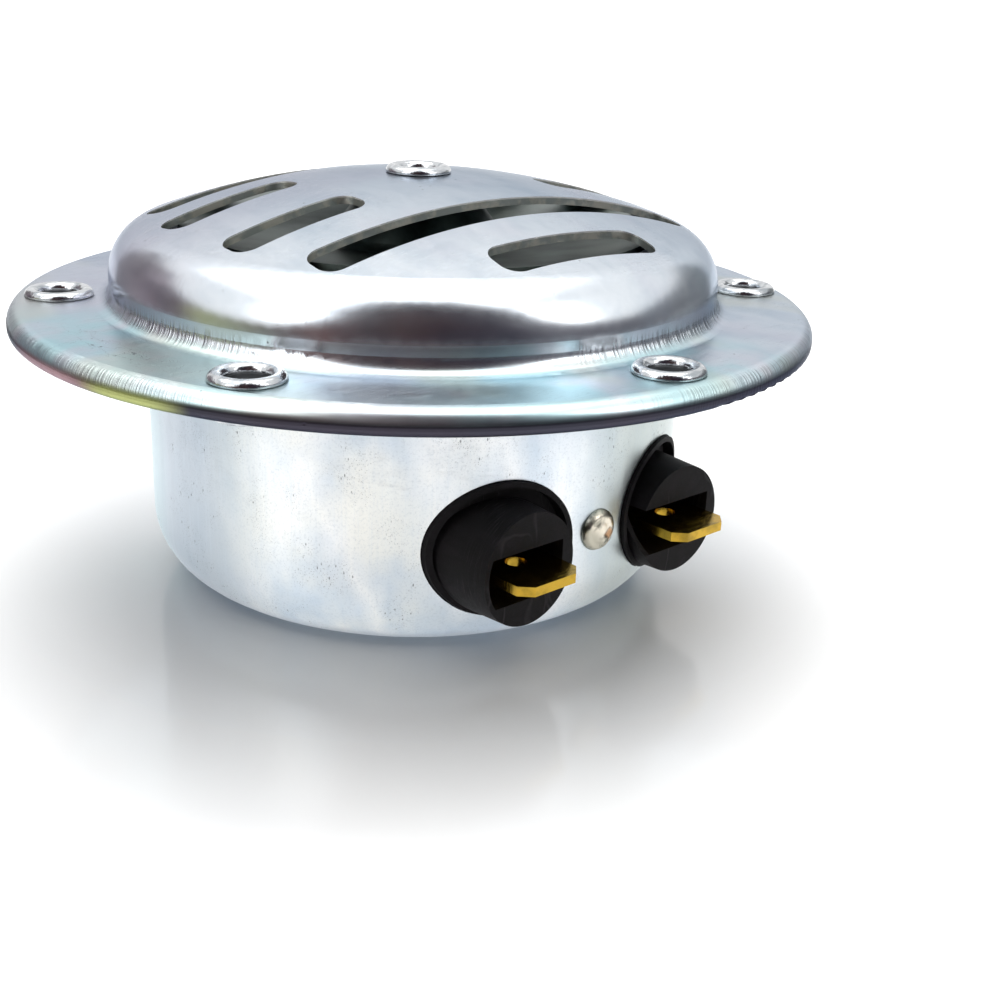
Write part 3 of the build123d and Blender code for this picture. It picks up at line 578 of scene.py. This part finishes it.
COVER_STEEL = (0.66, 0.73, 0.80)
COVER_PALE = (0.80, 0.85, 0.90)
COVER_ROSE = (0.78, 0.72, 0.80)
COVER_CYAN = (0.58, 0.82, 0.86)
COVER_STRAW = (0.84, 0.82, 0.66)
CUT_EDGE = (0.30, 0.33, 0.31)
CUT_BEIGE = (0.50, 0.49, 0.42)
CUT_LIP_HIGHLIGHT = (0.95, 0.96, 0.94)
CROWN_RADIUS = 67.5
CROWN_TOP = 1000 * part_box("cover")[1][2] + 0.03
DOME_RADIUS = 26.6
FLANGE_TOP = 24.75
COVER_RADIUS = 35.0
SKIRT_TOP = 23.5
SKIRT_SHADE = (0.035, 0.028, 0.045)
SKIRT_REFLECTED_OLIVE = (0.40, 0.43, 0.16)
SKIRT_REFLECTED_ROSE = (0.42, 0.26, 0.27)
OLIVE_SIDE = -165
ROSE_RIM_SIDE = 178
DRAWN_SIDES = (172, -68, 52)
CYAN_SIDES = (-172, -100)
ROSE_SIDE = 150


def cover_zinc():
    material, place = new_finish("bright_zinc")
    radius, angle, z = round_place(place)
    x, y, _ = place.parts()
    clouds = place.mapped((0, 0, 25), (1, 0.5, 1)).noise(0.12, 4.0, 0.6)
    smear = place.mapped((0, 0, 65), (0.25, 1, 1)).noise(0.9, 4.0, 0.6)
    colour = clouds.tone([(0.34, COVER_STEEL), (0.5, COVER_PALE), (0.66, COVER_STEEL)])
    colour = (smear.rise(0.45, 0.75) * 0.4).pick(colour, COVER_PALE)
    tint = place.mapped((0, 0, 70), (1, 0.7, 1)).noise(0.09, 2.0)
    colour = (tint.rise(0.50, 0.72) * 0.4).pick(colour, COVER_ROSE)
    colour = (facing(angle, ROSE_SIDE, 50) * 0.35).pick(colour, COVER_ROSE)
    flange = z.rise(FLANGE_TOP + 0.9, FLANGE_TOP + 0.1)
    for side in CYAN_SIDES:
        wash = facing(angle, side, 38) * flange * place.noise(0.18, 2.0).rise(0.28, 0.56)
        colour = (wash * 0.95).pick(colour, COVER_CYAN)
    straw = tint.rise(0.52, 0.36) * flange * 0.4
    colour = straw.pick(colour, COVER_STRAW)
    drawn_side = 0.0
    for side in DRAWN_SIDES:
        drawn_side = drawn_side + facing(angle, side, 44)
    unit_x, unit_y, _ = angle.parts()
    spokes = place.vector(unit_x * 96.0, unit_y * 96.0, radius * 0.12)
    dashes = spokes.noise(1.0, 2.0, 0.6).rise(0.42, 0.66)
    threads = place.vector(unit_x * 190.0, unit_y * 190.0, 0.0).noise(1.0, 2.0, 0.6)
    threads = threads.rise(0.42, 0.66)
    streaks = place.vector(unit_x * 40.0, unit_y * 40.0, 0.0).noise(0.7, 3.0, 0.7).rise(0.60, 0.75)
    foot = z.near(FLANGE_TOP + 0.9, 1.0) * radius.rise(DOME_RADIUS - 1.0, DOME_RADIUS - 0.2)
    foot = foot * radius.rise(DOME_RADIUS + 1.6, DOME_RADIUS + 1.0)
    rim = radius.near(COVER_RADIUS - 0.35, 0.7)
    wall = radius.rise(DOME_RADIUS - 3.5, DOME_RADIUS - 0.5) * z.rise(FLANGE_TOP, FLANGE_TOP + 1.0)
    # The die scoring at the dome's foot is real relief, and its dark colour is a painted reflection of the
    # dim room.
    scored_and_reflected = dashes * foot * drawn_side
    brushed = threads * rim * drawn_side
    colour = (scored_and_reflected * 0.5).pick(colour, DARK_SPECK)
    colour = (brushed * 0.35).pick(colour, DARK_SPECK)
    upright = place.node("NewGeometry", {}, {}, output=1).parts()[2].size()
    marks = scratches(place, (5, 48, 96, 140), 4.5) * upright.rise(0.6, 0.95)
    pits = place.cells(1.1).rise(0.14, 0.05) * place.noise(0.3, 2.0).rise(0.54, 0.66)
    colour = (pits * 0.5 + marks * 0.2).pick(colour, DARK_SPECK)
    wander = place.mapped((0, 0, 30), (1, 0.45, 1)).noise(0.8, 3.0, 0.5)
    squiggle = wander.near(0.5, 0.010) * facing(angle, -170, 26) * flange
    squiggle = squiggle * radius.near(31.0, 2.4)
    colour = (squiggle * 0.75).pick(colour, DARK_SPECK)
    steep = upright.rise(0.45, 0.2)
    cut = steep * radius.rise(26.0, 25.2) * z.rise(FLANGE_TOP + 2.0, FLANGE_TOP + 3.0)
    torn = place.noise(0.5, 4.0, 0.6).rise(0.42, 0.60)
    colour = (cut * 0.9).pick(colour, torn.pick(CUT_EDGE, CUT_BEIGE))
    # Painted highlight: a near white line along the slot edges, just under the crown's face.
    depth = (CROWN_RADIUS**2 - radius * radius) ** 0.5 - z + (CROWN_TOP - CROWN_RADIUS)
    colour = (cut * depth.rise(0.16, 0.07)).pick(colour, CUT_LIP_HIGHLIGHT)
    # Painted reflection: the rim's lower rounding is painted near black, with olive and rose patches, for the
    # dim room reflected there.
    skirt = z.rise(SKIRT_TOP + 0.5, SKIRT_TOP) * radius.rise(33.8, 34.2)
    olive = facing(angle, OLIVE_SIDE, 10)
    rose = facing(angle, ROSE_RIM_SIDE, 13)
    shade = rose.pick(olive.pick(SKIRT_SHADE, SKIRT_REFLECTED_OLIVE), SKIRT_REFLECTED_ROSE)
    colour = (skirt * 0.97).pick(colour, shade)
    roughness = 0.14 + clouds * 0.10 + marks * 0.10 + smear * 0.06 + cut * 0.25 + flange * 0.08
    height = place.noise(2.0, 3.0) * 0.15 + smear * 0.3 - marks * 0.3 - pits * 0.8 - squiggle
    height = height + scored_and_reflected * 3.4 + brushed * 1.5 + streaks * wall * 0.1 + cut * torn * 1.5
    close_finish(
        place,
        {
            "Base Color": colour,
            "Roughness": roughness,
            "Metallic": 1.0,
            "Specular Tint": (0.47, 0.51, 0.57, 1.0),
        },
        height,
        0.000014,
    )
    return material


dress(["cover"], cover_zinc())


# Eyelets
# Hollow rivets with a rolled head, brighter than the sheet. The rolling tool leaves each head
# a little uneven. Six close the flange, and one in the crown carries the baffle.

HEAD_RADIUS = 0.0029
HEAD_HEIGHT = 0.00065
BORE_RADIUS = 0.0017
EYELET_WALL = 0.0004
FOOT_RADIUS = 0.0028
FOOT_HEIGHT = 0.0005
EYELET_CIRCLE = 0.0308
COVER_TURN = -1.7
EYELET_STEPS = 72
ARC_STEPS = 9


def arc(middle_radius, middle_height, radius, start, end):
    """Points on part of a circle in the outline's plane, angles in degrees."""
    points = []
    for step in range(ARC_STEPS + 1):
        angle = radians(start + (end - start) * step / ARC_STEPS)
        points.append((middle_radius + radius * cos(angle), middle_height + radius * sin(angle)))
    return points


def eyelet_outline(foot, seat):
    """Closed outline of one eyelet from its foot height to its seat height."""
    roll = (HEAD_RADIUS - BORE_RADIUS) / 2
    crest = seat + HEAD_HEIGHT - roll
    barrel = BORE_RADIUS + EYELET_WALL
    curl = FOOT_HEIGHT / 2
    outline = arc(HEAD_RADIUS - roll, crest, roll, 180, 0)
    outline += [(HEAD_RADIUS - 0.00006, seat), (barrel, seat), (barrel, foot)]
    outline += arc(FOOT_RADIUS - curl, foot - curl, curl, 90, -90)
    outline += [(BORE_RADIUS + curl, foot - FOOT_HEIGHT), (BORE_RADIUS, foot - curl)]
    return outline


def eyelet_metal(name, seat):
    """Bright plate, dull and with painted shade down the bore below the seat height in millimetres."""
    material, place = new_finish(name)
    x, y, z = place.parts()
    grain = place.noise(4.0, 4.0)
    smear = place.mapped((0, 0, 35), (0.3, 1, 1)).noise(1.5, 3.0)
    colour = smear.rise(0.4, 0.7).pick((0.66, 0.68, 0.70), (0.42, 0.45, 0.48))
    # Painted shade: the bore is painted near black below the seat.
    bore = z.rise(seat + 0.25, seat - 0.15) * z.rise(seat - 2.3, seat - 1.9)
    colour = (bore * 0.85).pick(colour, (0.06, 0.065, 0.07))
    close_finish(
        place,
        {"Base Color": colour, "Roughness": 0.10 + smear * 0.12 + bore * 0.3, "Metallic": 1.0},
        grain * 0.5 + smear,
        0.00004,
    )
    return material


rng = random.Random(7)


def place_eyelet(name, node, x, y, finish):
    low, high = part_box(node)
    outline = eyelet_outline(low[2] + FOOT_HEIGHT, high[2] - HEAD_HEIGHT)
    piece = lathe(name, outline, EYELET_STEPS, rng.uniform(0, tau))
    piece.data.transform(Matrix.Translation((x, y, 0)))
    piece.data.materials.append(finish)
    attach(piece, "root")
    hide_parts(node)


flange_finish = eyelet_metal("bright_eyelet", FLANGE_TOP)
for number in range(6):
    angle = radians(60 * number - 90 + COVER_TURN)
    across = EYELET_CIRCLE * cos(angle)
    along = EYELET_CIRCLE * sin(angle)
    place_eyelet(f"flange_eyelet_{number + 1}", "flange_eyelets", across, along, flange_finish)
crown_seat = 1000 * (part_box("centre_eyelet")[1][2] - HEAD_HEIGHT)
place_eyelet("crown_eyelet", "centre_eyelet", 0, 0, eyelet_metal("crown_eyelet", crown_seat))


# Floor, light and camera
# A glossy white table, a white surround, a soft box overhead and a dim room behind the camera,
# which only the metal sees. The camera stands where the photograph was taken.

AZIMUTH = -39.2
DISTANCE = 0.1277
ELEVATION = 0.2325
YAW = 0.0619
PITCH = -0.1367
ROLL = 0.0227
FOCUS_PIXELS = 1403.5
PHOTO_PIXELS = 1000
SENSOR = 36.0
LOOK_HEIGHT = 0.0236
FLOOR_DROP = 0.00002
FLOOR_REACH = 6.0
DIFFUSE_LEVEL = 0.06
ROOM_RADIUS = 0.125
ROOM_HEIGHT = 0.32
ROOM_FADE = 0.018
ROOM_HALF_TURN = 130
LAMP_HEIGHT = 0.6

scene = bpy.context.scene


def table_white():
    material, place = new_finish("white_table")
    x, y, _ = place.parts()
    ripple = place.noise(0.02, 2.0)
    # Painted shadow: the camera sees the floor's glow only from 25 mm to 58 mm out from the horn's axis
    # onward, so the floor round the horn stays darker.
    away = (x * x + y * y).math("SQRT", x * x + y * y).rise(25.0, 58.0)
    light = place.node("LightPath", {}, {})
    outputs = light.socket.node.outputs
    mirrored = Field(outputs["Is Glossy Ray"]) + Field(outputs["Is Transmission Ray"])
    lift = light * away + mirrored
    surface = place.node(
        "BsdfPrincipled",
        {},
        {
            "Base Color": (ripple.rise(0.3, 0.7)).pick((0.93, 0.94, 0.95), (0.95, 0.95, 0.95)),
            "Roughness": 0.10 + ripple * 0.08,
            "Emission Color": lift.pick((0.0, 0.0, 0.0), (0.50, 0.50, 0.50)),
            "Emission Strength": 1.0,
        },
    )
    place.node("OutputMaterial", {}, {"Surface": surface})
    return material


floor_mesh = bpy.data.meshes.new("floor")
corner = FLOOR_REACH
floor_mesh.from_pydata(
    [(-corner, -corner, 0), (corner, -corner, 0), (corner, corner, 0), (-corner, corner, 0)],
    [],
    [(0, 1, 2, 3)],
)
floor_mesh.transform(Matrix.Translation((0, 0, -FLOOR_DROP)))
floor_mesh.materials.append(table_white())
floor = bpy.data.objects.new("floor", floor_mesh)
scene.collection.objects.link(floor)

world = bpy.data.worlds.new("studio")
scene.world = world
world.use_nodes = True
world.node_tree.nodes.clear()
path = Field(world.node_tree.nodes.new("ShaderNodeLightPath").outputs["Is Camera Ray"])
rays = path.socket.node.outputs
seen = path + Field(rays["Is Glossy Ray"]) + Field(rays["Is Transmission Ray"])
seen = seen.math("MINIMUM", seen, 1.0)
strength = DIFFUSE_LEVEL + seen * (1.0 - DIFFUSE_LEVEL)
sky = path.node("Background", {}, {"Color": (1.0, 1.0, 1.0, 1.0), "Strength": strength})
path.node("OutputWorld", {}, {"Surface": sky})


def soft_box(name, place, target, size, energy, mirrored=True, spread=True):
    """An area lamp from a place to a target, both across, away and up from the camera's side."""
    lamp = bpy.data.lights.new(name, "AREA")
    lamp.shape = "RECTANGLE"
    lamp.size, lamp.size_y = size
    lamp.energy = energy
    lamp.color = (1.0, 0.99, 0.98)
    box = bpy.data.objects.new(name, lamp)
    turn = Matrix.Rotation(radians(AZIMUTH), 4, "Z")
    aim = (Vector(target) - Vector(place)).to_track_quat("-Z", "Y").to_matrix().to_4x4()
    box.matrix_world = turn @ Matrix.Translation(place) @ aim
    box.visible_glossy = mirrored
    box.visible_diffuse = spread
    scene.collection.objects.link(box)


soft_box("overhead", (-0.12, -0.13, 0.60), (-0.12, -0.12, 0.0), (0.90, 0.86), 3.1)
soft_box("behind", (0.05, 0.42, 0.50), (0, 0, 0.0), (0.80, 0.40), 4.4, mirrored=False)
soft_box("right", (0.36, -0.24, 0.27), (0, 0, 0.03), (0.16, 0.30), 0.36, spread=False)
soft_box("left", (-0.32, -0.33, 0.22), (0, 0, 0.03), (0.20, 0.22), 0.32, spread=False)


def room_behind_camera():
    """A dim curved wall round the camera's side of the table that only reflections show."""
    columns = 48
    verts = []
    faces = []
    for column in range(columns + 1):
        side = radians(ROOM_HALF_TURN * (2 * column / columns - 1))
        for height in (0.0, ROOM_HEIGHT):
            verts.append((ROOM_RADIUS * sin(side), -ROOM_RADIUS * cos(side), height))
    for column in range(columns):
        first = 2 * column
        faces.append((first, first + 2, first + 3, first + 1))
    mesh = bpy.data.meshes.new("room")
    mesh.from_pydata(verts, [], faces)
    wall = bpy.data.objects.new("room", mesh)
    wall.matrix_world = Matrix.Rotation(radians(AZIMUTH), 4, "Z")
    scene.collection.objects.link(wall)
    wall.visible_camera = False
    wall.visible_diffuse = False
    wall.visible_shadow = False
    wall.visible_transmission = False
    return wall


ROOM_SKYLINE = [
    (0.00, 0.34),
    (0.11, 0.32),
    (0.17, 0.21),
    (0.23, 0.15),
    (0.33, 0.12),
    (0.385, 0.27),
    (0.42, 0.85),
    (0.58, 0.90),
    (0.64, 0.45),
    (0.67, 0.25),
    (0.71, 0.17),
    (0.79, 0.16),
    (0.885, 0.23),
    (1.00, 0.31),
]


def room_shade():
    """Dark red, olive and violet patches from side to side, fading out at the top."""
    material = bpy.data.materials.new("dim_room")
    material.use_nodes = True
    material.node_tree.nodes.clear()
    place = Field(material.node_tree.nodes.new("ShaderNodeTexCoord").outputs["Object"])
    x, y, z = place.parts()
    turn = x.math("ARCTAN2", x, y * -1.0) / (2 * radians(ROOM_HALF_TURN)) + 0.5
    colour = turn.tone(
        [
            (0.00, (0.33, 0.31, 0.31)),
            (0.12, (0.29, 0.24, 0.27)),
            (0.18, (0.20, 0.15, 0.17)),
            (0.22, (0.36, 0.38, 0.20)),
            (0.27, (0.24, 0.25, 0.16)),
            (0.33, (0.08, 0.06, 0.06)),
            (0.39, (0.12, 0.04, 0.035)),
            (0.44, (0.03, 0.02, 0.025)),
            (0.48, (0.06, 0.03, 0.03)),
            (0.54, (0.03, 0.015, 0.02)),
            (0.62, (0.03, 0.025, 0.04)),
            (0.70, (0.16, 0.15, 0.17)),
            (0.80, (0.20, 0.20, 0.22)),
            (1.00, (0.30, 0.32, 0.32)),
        ]
    )
    patches = place.noise(22.0, 2.0)
    colour = (patches.rise(0.45, 0.65) * 0.5).pick(colour, (0.03, 0.024, 0.036))
    lit = place.node("Emission", {}, {"Color": colour, "Strength": 1.0})
    clear = place.node("BsdfTransparent", {}, {})
    top = turn.tone(
        [(at, (level, level, level)) for at, level in ROOM_SKYLINE]
    ) * ROOM_HEIGHT
    edge = z.rise(top, top - ROOM_FADE)
    both = place.node("MixShader", {}, {0: edge, 1: clear, 2: lit})
    place.node("OutputMaterial", {}, {"Surface": both})
    return material


room_behind_camera().data.materials.append(room_shade())


def photo_camera():
    """Camera fitted to the rim, the crown and the terminals of the photograph."""
    centre = Vector((0, -DISTANCE * cos(ELEVATION), DISTANCE * sin(ELEVATION)))
    ahead = -centre.normalized()
    right = Vector((1, 0, 0))
    up = right.cross(ahead)
    swung = ahead * cos(YAW) + right * sin(YAW)
    right = right * cos(YAW) - ahead * sin(YAW)
    tipped = swung * cos(PITCH) + up * sin(PITCH)
    up = up * cos(PITCH) - swung * sin(PITCH)
    level = right * cos(ROLL) + up * sin(ROLL)
    upright = up * cos(ROLL) - right * sin(ROLL)
    axes = Matrix((level, upright, -tipped)).transposed()
    turn = Matrix.Rotation(radians(AZIMUTH), 3, "Z")
    place = turn @ centre + Vector((0, 0, LOOK_HEIGHT))
    camera_data = bpy.data.cameras.new("camera")
    camera_data.sensor_width = SENSOR
    camera_data.lens = SENSOR * FOCUS_PIXELS / PHOTO_PIXELS
    camera_data.clip_start = 0.005
    camera = bpy.data.objects.new("camera", camera_data)
    camera.matrix_world = Matrix.Translation(place) @ (turn @ axes).to_4x4()
    scene.collection.objects.link(camera)
    return camera


scene.camera = photo_camera()
scene.view_settings.view_transform = "Standard"
